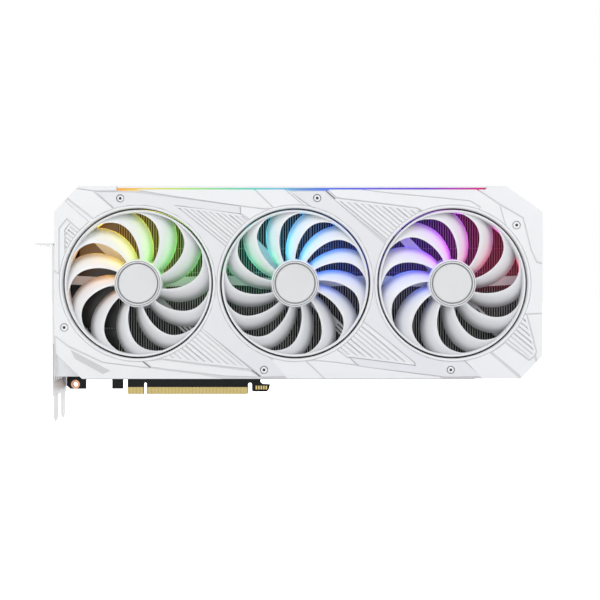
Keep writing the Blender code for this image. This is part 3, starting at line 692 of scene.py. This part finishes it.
# The light bar is a clear moulded guide let into the cover's top edge over a strip of lamps. Its
# colour runs through the rainbow from end to end.
BAR_COLOURS = [(0.0, (0.95, 0.42, 0.10)), (0.09, (0.88, 0.78, 0.16)), (0.2, (0.42, 0.85, 0.22)),
               (0.33, (0.14, 0.72, 0.48)), (0.43, (0.20, 0.62, 0.80)), (0.5, (0.17, 0.33, 0.70)),
               (0.58, (0.10, 0.20, 0.85)), (0.7, (0.16, 0.12, 0.80)), (0.84, (0.20, 0.07, 0.68)),
               (0.92, (0.55, 0.05, 0.5)), (1.0, (0.65, 0.03, 0.12))]
bar_low, bar_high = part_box("light_bar")
hue = bpy.data.node_groups.new("rainbow_along_the_bar", "ShaderNodeTree")
socket_of(hue, "Colour", "NodeSocketColor", False)
hue_out = hue.nodes.new("NodeGroupOutput")
hue_place = hue.nodes.new("ShaderNodeTexCoord")
hue_split = hue.nodes.new("ShaderNodeSeparateXYZ")
hue_share = hue.nodes.new("ShaderNodeMapRange")
hue_ramp = hue.nodes.new("ShaderNodeValToRGB")
hue_share.inputs["From Min"].default_value = bar_low.x
hue_share.inputs["From Max"].default_value = bar_high.x
while len(hue_ramp.color_ramp.elements) < len(BAR_COLOURS):
    hue_ramp.color_ramp.elements.new(0.5)
for stop, (place, colour) in zip(hue_ramp.color_ramp.elements, BAR_COLOURS):
    stop.position = place
    stop.color = (*colour, 1)
hue.links.new(hue_place.outputs["Object"], hue_split.inputs["Vector"])
hue.links.new(hue_split.outputs["X"], hue_share.inputs["Value"])
hue.links.new(hue_share.outputs["Result"], hue_ramp.inputs["Fac"])
hue.links.new(hue_ramp.outputs["Color"], hue_out.inputs["Colour"])


def glows_as_bar(material):
    """Gives a finish's glow the bar's colour at the same place along the card."""
    colour = material.node_tree.nodes.new("ShaderNodeGroup")
    colour.node_tree = hue
    shader = material.node_tree.nodes["Principled BSDF"]
    material.node_tree.links.new(colour.outputs["Colour"], shader.inputs["Emission Color"])


def lit_finish(name, strength, base=(0.6, 0.6, 0.6)):
    """A finish that glows with the bar's colour: clear plastic lit by lamps, or painted light on a panel."""
    material = finish_of(name, base, [band * 1.2 for band in base], 0.3, spread=0.05)
    glows_as_bar(material)
    material.node_tree.nodes["Principled BSDF"].inputs["Emission Strength"].default_value = strength
    return material


light_guide = lit_finish("light_guide", 0.95, (0.01, 0.01, 0.01))
light_guide.node_tree.nodes["Principled BSDF"].inputs["Specular IOR Level"].default_value = 0.1
wear("light_bar", light_guide)
wear("lamp_strip", lit_finish("lamp_strip", 1.0))


# A narrow lip of the cover's white moulding holds the light bar down from above, so that the bar's
# front shows as a fine line that widens a little away from the bracket.
LIP_FOOT_LEFT, LIP_FOOT_RIGHT = 140.0 * MM, 140.25 * MM
BAR_LIP_RISE, BAR_LIP_SUNK, BAR_LIP_EDGE = 0.3 * MM, 0.05 * MM, 0.1 * MM
lip_top = cover_high.z - 0.05 * MM
bar_lip = np.array([(bar_low.x, LIP_FOOT_LEFT), (bar_high.x, LIP_FOOT_RIGHT), (bar_high.x, lip_top),
                    (bar_low.x, lip_top)])
bar_lip = raised_field(bar_lip, bar_low.y - BAR_LIP_RISE, bar_low.y + BAR_LIP_SUNK, BAR_LIP_EDGE)
piece("cover_bar_lip", bar_lip, white_plastic)


# A thin light strip of the same clear plastic runs round the upper half of each opening's collar,
# behind the rotor's ring, and tints the ring's gap.
GLOW_INNER, GLOW_OUTER = 49.1 * MM, 49.4 * MM
GLOW_NEAR, GLOW_FAR = FACE + 13.2 * MM, FACE + 14.8 * MM
GLOW_START, GLOW_END, GLOW_STEPS = 8, 172, 60


def arc_strip(centre, start, end, near, far, steps):
    """A strip of rectangular section carried round part of a circle inside an opening's collar."""
    angles = np.radians(np.linspace(start, end, steps))
    section = np.array([(GLOW_INNER, far), (GLOW_OUTER, far), (GLOW_OUTER, near), (GLOW_INNER, near)])
    x = centre[0] + np.outer(np.cos(angles), section[:, 0])
    z = centre[1] + np.outer(np.sin(angles), section[:, 0])
    points = np.stack([x, np.broadcast_to(section[:, 1], x.shape), z], 2).reshape(-1, 3)
    i, k = np.meshgrid(np.arange(steps - 1), np.arange(4), indexing="ij")
    m = (k + 1) % 4
    faces = np.stack([i * 4 + k, i * 4 + 4 + k, i * 4 + 4 + m, i * 4 + m], 2).reshape(-1, 4).tolist()
    faces += [[0, 1, 2, 3], [4 * steps - 1, 4 * steps - 2, 4 * steps - 3, 4 * steps - 4]]
    return points, faces


glow = lit_finish("inner_light", 0.9)
for side, centre in zip(SIDES, FAN_CENTRES):
    strip = arc_strip(centre, GLOW_START, GLOW_END, GLOW_NEAR, GLOW_FAR, GLOW_STEPS)
    piece(f"inner_light_{side}", strip, glow)


# The cooler's two stacks are thin aluminium fins, plated black and pushed over the heat pipes, with
# folded tabs that lock them together in straight rows. Their front edges carry a painted highlight,
# paler below the hubs, and above the hubs the fins glow in the bar's colours as painted light.
FIN_PITCH = 1.65 * MM
FIN_THICK = 0.45 * MM
FIN_EDGE_HIGHLIGHT_UPPER = (0.13, 0.13, 0.13)
FIN_EDGE_HIGHLIGHT_LOWER = (0.42, 0.42, 0.41)
FIN_PAINTED_GLOW = 0.2
LEFT_REACH = 3.3 * MM
CORNER_START = 203.0 * MM
CORNER_CLEAR = 4.0 * MM
CORNER_SLOPE = 0.72
TAB_HEIGHTS = (101.0 * MM, 84.9 * MM, 60.0 * MM, 36.0 * MM)
TAB_NEAR, TAB_FAR, TAB_THICK, TAB_SHORT = 0.4 * MM, 0.9 * MM, 0.5 * MM, 4 * MM


def worked(tree, operation, first, second):
    """The outcome of one sum on two values, each a node's output or a plain number."""
    node = tree.nodes.new("ShaderNodeMath")
    node.operation = operation
    for value, socket in zip((first, second), node.inputs):
        if isinstance(value, float):
            socket.default_value = value
        else:
            tree.links.new(value, socket)
    return node.outputs["Value"]


def plates(lows, highs):
    """Upright boxes from their lowest and highest corners, all at once."""
    lows, highs = np.array(lows, float), np.array(highs, float)
    pick = np.array([[0, 0, 0], [1, 0, 0], [1, 1, 0], [0, 1, 0], [0, 0, 1], [1, 0, 1], [1, 1, 1], [0, 1, 1]])
    points = (lows[:, None, :] * (1 - pick) + highs[:, None, :] * pick).reshape(-1, 3)
    sides = np.array([[0, 3, 2, 1], [4, 5, 6, 7], [0, 1, 5, 4], [1, 2, 6, 5], [2, 3, 7, 6], [3, 0, 4, 7]])
    faces = (np.arange(len(lows))[:, None, None] * 8 + sides).reshape(-1, 4)
    return points, faces.tolist()


black_fins = finish_of("black_fins", (0.006, 0.006, 0.0062), (0.011, 0.011, 0.0112), 0.5)
fin_tree = black_fins.node_tree
fin_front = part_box("fin_stack_left")[0].y
hub_height = FAN_CENTRES[0][1]
# Painted highlight: the fins' front edges are paler, most of all below the hubs.
fin_edge = mask_along(black_fins, "Y", fin_front + 0.3 * MM, fin_front + 0.1 * MM)
shaded_to(black_fins, fin_edge, FIN_EDGE_HIGHLIGHT_UPPER)
fin_lower = mask_along(black_fins, "Z", hub_height + 12 * MM, hub_height - 12 * MM)
shaded_to(black_fins, worked(fin_tree, "MULTIPLY", fin_edge, fin_lower), FIN_EDGE_HIGHLIGHT_LOWER)
# Painted light: near their front and above the hubs, the fins glow in the bar's colour.
fin_lit = fin_tree.nodes.new("ShaderNodeAttribute")
fin_lit.attribute_name = "lit"
fin_share = fin_lit.outputs["Fac"]
for axis, start, end in (("Y", fin_front + 7 * MM, fin_front),
                         ("Z", hub_height - 11 * MM, hub_height + 10 * MM),
                         ("Z", hub_height + 51 * MM, hub_height + 49 * MM)):
    fin_share = worked(fin_tree, "MULTIPLY", fin_share, mask_along(black_fins, axis, start, end))
glows_as_bar(black_fins)
fin_tree.links.new(worked(fin_tree, "MULTIPLY", fin_share, FIN_PAINTED_GLOW),
                   fin_tree.nodes["Principled BSDF"].inputs["Emission Strength"])
for side in ("left", "right"):
    low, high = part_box(f"fin_stack_{side}")
    reach = high.x + LEFT_REACH if side == "left" else high.x - FIN_THICK
    starts = np.arange(low.x, reach, FIN_PITCH)
    one = np.ones_like(starts)
    beyond = np.maximum(starts - CORNER_START, 0)
    top = np.minimum(high.z, cover_high.z - CORNER_CLEAR - CORNER_SLOPE * beyond)
    fins = plates(np.stack([starts, low.y * one, low.z * one], 1),
                  np.stack([starts + FIN_THICK, high.y * one, top], 1))
    tabs = plates([(low.x, low.y + TAB_NEAR, z) for z in TAB_HEIGHTS],
                  [(high.x - TAB_SHORT, low.y + TAB_FAR, z + TAB_THICK) for z in TAB_HEIGHTS])
    stack = piece(f"fins_{side}", joined([fins, tabs]), black_fins)
    lit = np.ones(len(stack.data.vertices))
    unlit = 0 if side == "left" else 8 * len(starts) - 8
    lit[unlit:unlit + 8] = 0
    stack.data.attributes.new("lit", "FLOAT", "POINT").data.foreach_set("value", lit)
    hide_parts(f"fin_stack_{side}")


# The first fins at the bracket's end are covered by a plain black panel in two parts, folded from the
# outermost fin. Its upper part glows in the light bar's colour, as painted light.
PANEL_END = -50.0 * MM
PANEL_RIB, PANEL_GAP = 46.6 * MM, 1.4 * MM
PANEL_PAINTED_GLOW = 0.12
panel_front, panel_back = fin_front - 0.6 * MM, fin_front - 0.1 * MM
end_panel = lit_finish("end_panel", 0.0, (0.012, 0.012, 0.012))
panel_tree = end_panel.node_tree
panel_lit = mask_along(end_panel, "Z", hub_height + 7 * MM, hub_height + 22 * MM)
panel_tree.links.new(worked(panel_tree, "MULTIPLY", panel_lit, PANEL_PAINTED_GLOW),
                     panel_tree.nodes["Principled BSDF"].inputs["Emission Strength"])
panel_low, panel_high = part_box("fin_stack_left")
panels = plates([(panel_low.x, panel_front, panel_low.z), (panel_low.x, panel_front, PANEL_RIB + PANEL_GAP)],
                [(PANEL_END, panel_back, PANEL_RIB), (PANEL_END, panel_back, panel_high.z)])
piece("fin_end_panel", panels, end_panel)


# A thin black plastic baffle stands at each end of the cooler, so that the air leaves through the fins
# and nothing shows past them through the outer openings.
BAFFLES = [(-86.2, -33.0, 24), (224.3, -33.0, 26)], [(-85.6, -15.0, 122), (224.9, -14.7, 122)]
baffles = plates(*(np.array(corners) * MM for corners in BAFFLES))
piece("end_baffles", baffles, black_plastic)


# Six copper heat pipes are soldered to the cold plate, which presses on the processor. Pipes, plate and
# the frame between the board and the fins are nickel plated in black.
black_nickel = finish_of("black_nickel", (0.03, 0.03, 0.032), (0.05, 0.05, 0.052), 0.35, metal=0.8)
for n in range(1, 7):
    wear(f"heat_pipe_{n}", black_nickel)
wear("cold_plate", black_nickel)
wear("mid_frame", black_nickel)
wear("processor", ferrite)


# The circuit board is black glass-fibre laminate with gold-plated fingers on both sides of its two edge
# blades, five plain pads on its retention hook, and a plated screw hole in its corner tab.
BOARD_FRONT, BOARD_BACK = -0.785 * MM, 0.785 * MM
BOARD_SPECULAR = 0.22
FINGER_PITCH = 1.0 * MM
FINGER_WIDTH = 0.82 * MM
FINGER_LOW, FINGER_HIGH = 0.15 * MM, 4.9 * MM
SHORT_BLADE, SHORT_BLADE_END = -49.0 * MM, -38.4 * MM
LONG_BLADE, LONG_BLADE_END = -35.4 * MM, 35.0 * MM
PLATING = 0.05 * MM
HOOK_PADS = 41.2 * MM + 1.75 * MM * np.arange(5)
HOOK_PAD_WIDTH, HOOK_PAD_LOW, HOOK_PAD_HIGH = 1.1 * MM, 3.3 * MM, 5.9 * MM
HOLE = np.array([-86.3 * MM, 6.9 * MM])
HOLE_PROFILE = [(1.65, -0.05), (3.1, -0.05), (3.1, 0.02), (1.65, 0.02)]
board_look = finish_of("black_board", (0.006, 0.0063, 0.0068), (0.011, 0.0115, 0.0125), 0.5, scale=1200.0)
board_look.node_tree.nodes["Principled BSDF"].inputs["Specular IOR Level"].default_value = BOARD_SPECULAR
wear("circuit_board", board_look)
gold = finish_of("gold_plating", (0.63, 0.50, 0.18), (0.71, 0.57, 0.24), 0.34, metal=0.7)
short_blade = SHORT_BLADE + FINGER_PITCH * np.arange(12)
long_blade = LONG_BLADE + FINGER_PITCH * np.arange(72)
starts = np.concatenate([short_blade[short_blade < SHORT_BLADE_END], long_blade[long_blade < LONG_BLADE_END]])
fingers = []
for near, far in ((BOARD_FRONT - PLATING, BOARD_FRONT), (BOARD_BACK, BOARD_BACK + PLATING)):
    fingers.append(plates([(x, near, FINGER_LOW) for x in starts],
                          [(x + FINGER_WIDTH, far, FINGER_HIGH) for x in starts]))
fingers.append(plates([(x, BOARD_FRONT - PLATING, HOOK_PAD_LOW) for x in HOOK_PADS],
                      [(x + HOOK_PAD_WIDTH, BOARD_FRONT, HOOK_PAD_HIGH) for x in HOOK_PADS]))
piece("edge_fingers", joined(fingers), gold)
piece("hole_plating", turned(set_back(HOLE_PROFILE, BOARD_FRONT), HOLE, 48), copper)


# Three black plastic power sockets stand on the board's top edge. Inside each, thin walls part eight
# cells, and a square plated steel pin stands in every cell.
SOCKET_WALL = 1.2 * MM
CELL_WALL = 0.35 * MM
CELL_NEAR, CELL_FAR, CELL_FLOOR = -12.8 * MM, -4.0 * MM, 121.0 * MM
CELL_SHORT, PIN_SHORT = 0.8 * MM, 2.5 * MM
PIN = 0.4 * MM
middle = (CELL_NEAR + CELL_FAR) / 2
for n in range(1, 4):
    wear(f"power_socket_{n}", black_plastic)
    low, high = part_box(f"power_socket_{n}")
    left, right = low.x + SOCKET_WALL, high.x - SOCKET_WALL
    across = np.linspace(left, right, 5)
    top = high.z - CELL_SHORT
    walls = [((x - CELL_WALL, CELL_NEAR, CELL_FLOOR), (x + CELL_WALL, CELL_FAR, top)) for x in across[1:-1]]
    walls.append(((left, middle - CELL_WALL, CELL_FLOOR), (right, middle + CELL_WALL, top)))
    piece(f"power_cells_{n}", plates(*zip(*walls)), black_plastic)
    pins = [((x - PIN, y - PIN, CELL_FLOOR), (x + PIN, y + PIN, high.z - PIN_SHORT))
            for x in (across[1:] + across[:-1]) / 2
            for y in ((CELL_NEAR + middle) / 2, (middle + CELL_FAR) / 2)]
    piece(f"power_pins_{n}", plates(*zip(*pins)), steel)


# Five display sockets look out through the bracket. Each is a folded steel shell, soldered to the
# board, round a black plastic lining with a tongue in its middle.
DISPLAY_SOCKETS = ("hdmi_socket_1", "displayport_1", "displayport_2", "displayport_3", "hdmi_socket_2")
MOUTH_NEAR, MOUTH_FAR, MOUTH_BACK = -5.7 * MM, -1.9 * MM, -82.0 * MM
MOUTH_WALL, MOUTH_START = 0.9 * MM, 0.6 * MM
LINING = 0.15 * MM
TONGUE_BACK, TONGUE_HALF, TONGUE_CLEAR = 0.8 * MM, 0.5 * MM, 2 * MM
middle = (MOUTH_NEAR + MOUTH_FAR) / 2
for n, name in enumerate(DISPLAY_SOCKETS, 1):
    wear(name, steel)
    low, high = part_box(name)
    foot, top, mouth = low.z + MOUTH_WALL, high.z - MOUTH_WALL, low.x + MOUTH_START
    walls = [((MOUTH_BACK - LINING, MOUTH_NEAR, foot), (MOUTH_BACK, MOUTH_FAR, top)),
             ((mouth, MOUTH_NEAR, foot), (MOUTH_BACK, MOUTH_NEAR + LINING, top)),
             ((mouth, MOUTH_FAR - LINING, foot), (MOUTH_BACK, MOUTH_FAR, top)),
             ((mouth, MOUTH_NEAR, foot), (MOUTH_BACK, MOUTH_FAR, foot + LINING)),
             ((mouth, MOUTH_NEAR, top - LINING), (MOUTH_BACK, MOUTH_FAR, top)),
             ((mouth + TONGUE_BACK, middle - TONGUE_HALF, foot + TONGUE_CLEAR),
              (MOUTH_BACK, middle + TONGUE_HALF, top - TONGUE_CLEAR))]
    piece(f"display_lining_{n}", plates(*zip(*walls)), black_plastic)


# The firmware switch is a small black plastic body on the board's top edge, with a white knob that
# slides along it.
wear("switch_body", black_plastic)
wear("switch_knob", white_plastic)


# The slot bracket is folded from plated sheet steel and screwed to the board. Its long front edge is
# folded once more, in towards the cover.
RETURN_NEAR, RETURN_FAR = -93.1 * MM, -89.0 * MM
RETURN_FOOT, RETURN_TOP = 37 * MM, 103.0 * MM
SHEET = 0.7 * MM
bracket_steel = finish_of("bracket_steel", (0.62, 0.62, 0.63), (0.70, 0.70, 0.71), 0.4, metal=0.45,
                          scale=600.0)
wear("io_bracket", bracket_steel)
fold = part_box("io_bracket")[0].y
bracket_return = plates([(RETURN_NEAR, fold - SHEET, RETURN_FOOT)], [(RETURN_FAR, fold, RETURN_TOP)])
piece("bracket_return", bracket_return, bracket_steel)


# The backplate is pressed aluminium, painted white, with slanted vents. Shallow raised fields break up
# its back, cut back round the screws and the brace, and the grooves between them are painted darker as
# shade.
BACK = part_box("backplate")[1].y
BACK_RISE = 0.45 * MM
BACK_SUNK = 0.2 * MM
BACK_EDGE = 0.2 * MM
BACK_HOLE = 2.9 * MM
BACK_GROOVE_SHADE = (0.3, 0.305, 0.315)
BRACE_HOLES = [(6, 46), (64, 46), (6, 104), (64, 104)]
BACK_SCREWS = [(-60, 112), (-60, 20), (90, 112), (90, 20), (186, 92), (186, 20)]
BACK_FIELDS = {
    "bracket_end": [(-88.4, 13.6), (121.5, 13.6), (-28.5, 139.4), (-79.8, 139.4), (-88.4, 130.8)],
    "band": [(123.0, 13.6), (139.5, 13.6), (-10.5, 139.4), (-27.0, 139.4)],
    "far_end": [(141.0, 13.6), (196.5, 13.6), (196.5, 139.4), (-9.0, 139.4)],
    "vent_end": [(219.6, 13.6), (221.8, 13.6), (227.4, 19.2), (227.4, 133.8), (221.8, 139.4), (219.6, 139.4)],
    "vent_foot": [(198.0, 13.6), (218.2, 13.6), (218.2, 38.5), (198.0, 29.5)],
    "vent_head": [(198.0, 116.8), (218.2, 125.8), (218.2, 139.4), (198.0, 139.4)],
}


def behind(shape):
    """A shape turned over in Y, so that a field drawn for the front faces the back."""
    points, faces = shape
    return points * np.array([1, -1, 1]), [face[::-1] for face in faces]


backplate_shell = finish_of("backplate_shell", *METAL_WHITES, METAL_ROUGHNESS, bump=0.02)
# Painted shade: the backplate's own face, seen only at the groove floors, is darker.
shaded_to(backplate_shell, mask_along(backplate_shell, "Y", BACK - 0.2 * MM, BACK - 0.1 * MM), BACK_GROOVE_SHADE)
wear("backplate", backplate_shell)
for field, corners in BACK_FIELDS.items():
    outline = np.array(corners) * MM
    outline = outline if winding(outline) > 0 else outline[::-1]
    edges = np.roll(outline, -1, 0) - outline
    holes = []
    for spot in np.array(BACK_SCREWS + BRACE_HOLES) * MM:
        away = edges[:, 0] * (spot - outline)[:, 1] - edges[:, 1] * (spot - outline)[:, 0]
        if (away / np.linalg.norm(edges, axis=1) > BACK_HOLE).all():
            holes.append(round_hole(spot, BACK_HOLE))
    shape = raised_field(outline, -BACK - BACK_RISE, -BACK + BACK_SUNK, BACK_EDGE, holes)
    piece(f"backplate_{field}", behind(shape), white_metal)


# Six plated steel screws with low round heads and a sunk socket hold the backplate to the frame. A
# sprung brace of grey steel behind the processor pulls the cold plate down.
HEAD_PROFILE = [(POLE, 0), (2.4, 0), (2.4, 0.25), (2.0, 0.5), (1.0, 0.55), (0.9, 0.2), (POLE, 0.2)]
heads = [turned(set_back(HEAD_PROFILE, BACK), np.array(spot) * MM, 32) for spot in BACK_SCREWS]
backplate_screws = piece("backplate_screws", joined(heads), steel, smooth=True)
backplate_screws.data.set_sharp_from_angle(angle=math.radians(35))
grey_metal = finish_of("grey_metal", (0.35, 0.36, 0.38), (0.45, 0.46, 0.48), 0.4, metal=1.0, scale=700.0)
wear("retention_brace", grey_metal)


# The floor is a wide pale sheet just under the bracket's tongues. It looks white to the camera and in
# the card's metal, and keeps the card's shadow.
FLOOR_GAP, FLOOR_THICK, FLOOR_REACH = 1.0 * MM, 0.01, 60
FLOOR_GLOW = 0.8
floor_top = cad_low.z - FLOOR_GAP
floor_look = finish_of("pale_floor", (0.88, 0.88, 0.88), (0.9, 0.9, 0.9), 0.9)
floor_tree = floor_look.node_tree
floor_path = floor_tree.nodes.new("ShaderNodeLightPath").outputs
floor_seen = worked(floor_tree, "MAXIMUM", floor_path["Is Camera Ray"], floor_path["Is Glossy Ray"])
floor_shader = floor_tree.nodes["Principled BSDF"]
floor_shader.inputs["Emission Color"].default_value = (1, 1, 1, 1)
floor_tree.links.new(worked(floor_tree, "MULTIPLY", floor_seen, FLOOR_GLOW),
                     floor_shader.inputs["Emission Strength"])
floor_points, floor_faces = plates([(-FLOOR_REACH, -FLOOR_REACH, floor_top - FLOOR_THICK)],
                                   [(FLOOR_REACH, FLOOR_REACH, floor_top)])
floor = bpy.data.objects.new("floor", bpy.data.meshes.new("floor"))
floor.data.from_pydata(floor_points.tolist(), [], floor_faces)
floor.data.materials.append(floor_look)
bpy.context.scene.collection.objects.link(floor)
floor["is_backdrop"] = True


# The card stands in a white tent: full white where it is seen straight, in metal or through clear
# plastic, and dimmer as a light on the card.
TENT_LIGHT, TENT_SEEN = 0.64, 1.0
world = bpy.data.worlds.new("studio")
bpy.context.scene.world = world
world.use_nodes = True
tent_tree = world.node_tree
tent = tent_tree.nodes["Background"]
tent.inputs["Color"].default_value = (1, 1, 1, 1)
tent_path = tent_tree.nodes.new("ShaderNodeLightPath").outputs
tent_seen = worked(tent_tree, "MAXIMUM", tent_path["Is Camera Ray"], tent_path["Is Glossy Ray"])
tent_seen = worked(tent_tree, "MAXIMUM", tent_seen, tent_path["Is Transmission Ray"])
tent_level = tent_tree.nodes.new("ShaderNodeMapRange")
tent_level.inputs["To Min"].default_value = TENT_LIGHT
tent_level.inputs["To Max"].default_value = TENT_SEEN
tent_tree.links.new(tent_seen, tent_level.inputs["Value"])
tent_tree.links.new(tent_level.outputs["Result"], tent.inputs["Strength"])


# Five small lamps behind the upper half of each rotor throw the bar's colours on the blades. They are
# fixed to the card, so the colours stay where they are while the rotors turn.
SPILL = 34.0 * MM
SPILL_DEPTH = FACE + 16.6 * MM
SPILL_SIZE, SPILL_WATTS = 22 * MM, 0.0095
SPILL_ANGLES = (15, 52, 90, 128, 165)
SPILL_COLOURS = {
    "left": [(0.05, 0.62, 0.04), (0.15, 0.64, 0.02), (0.62, 0.62, 0.01), (0.95, 0.50, 0.01),
             (0.42, 0.13, 0.02)],
    "middle": [(0.02, 0.10, 0.70), (0.03, 0.20, 0.92), (0.05, 0.40, 0.90), (0.03, 0.66, 0.78),
               (0.05, 0.64, 0.20)],
    "right": [(0.46, 0.02, 0.05), (0.42, 0.01, 0.32), (0.48, 0.01, 0.90), (0.18, 0.03, 0.95),
              (0.02, 0.16, 0.95)],
}


def lamp(name, place, aim, size, watts):
    """A square lamp at a place, turned to face a point."""
    light = bpy.data.lights.new(name, "AREA")
    light.size = size
    light.energy = watts
    obj = bpy.data.objects.new(name, light)
    obj.location = place
    aim = Vector(aim) - Vector(place)
    obj.rotation_euler = aim.to_track_quat("-Z", "Y").to_euler()
    bpy.context.scene.collection.objects.link(obj)
    return obj


for side, centre in zip(SIDES, FAN_CENTRES):
    for angle, colour in zip(SPILL_ANGLES, SPILL_COLOURS[side]):
        turn = math.radians(angle)
        x, z = centre + SPILL * np.array([math.cos(turn), math.sin(turn)])
        spill = lamp(f"spill_{side}_{angle}", (x, SPILL_DEPTH, z), (x, -1, z), SPILL_SIZE, SPILL_WATTS)
        spill.data.color = colour
        spill.visible_camera = False


# Three broad studio lamps add soft shadows to the tent's light: a key from the upper left, a weaker
# fill from the right, and one for the card's back.
card_middle = (cad_low + cad_high) / 2
lamp("key_lamp", (-0.5, -0.9, 1.0), card_middle, 0.7, 6.0)
lamp("fill_lamp", (0.9, -1.0, 0.5), card_middle, 0.8, 2.5)
lamp("back_lamp", (0.2, 1.0, 0.8), card_middle, 0.8, 6.0)


# The camera looks straight at the fan side from 0.65 m in front of the accent plates, with a lens that
# frames the card as the photograph does.
camera = bpy.data.objects.new("camera", bpy.data.cameras.new("camera"))
camera.data.lens = 59.5
camera.data.sensor_width = 36.0
camera.location = (FACE_ORIGIN[0], -0.7025, FACE_ORIGIN[1])
camera.rotation_euler = (math.radians(90), 0, 0)
bpy.context.scene.collection.objects.link(camera)
bpy.context.scene.camera = camera
bpy.context.scene.view_settings.view_transform = "Standard"

low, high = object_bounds()
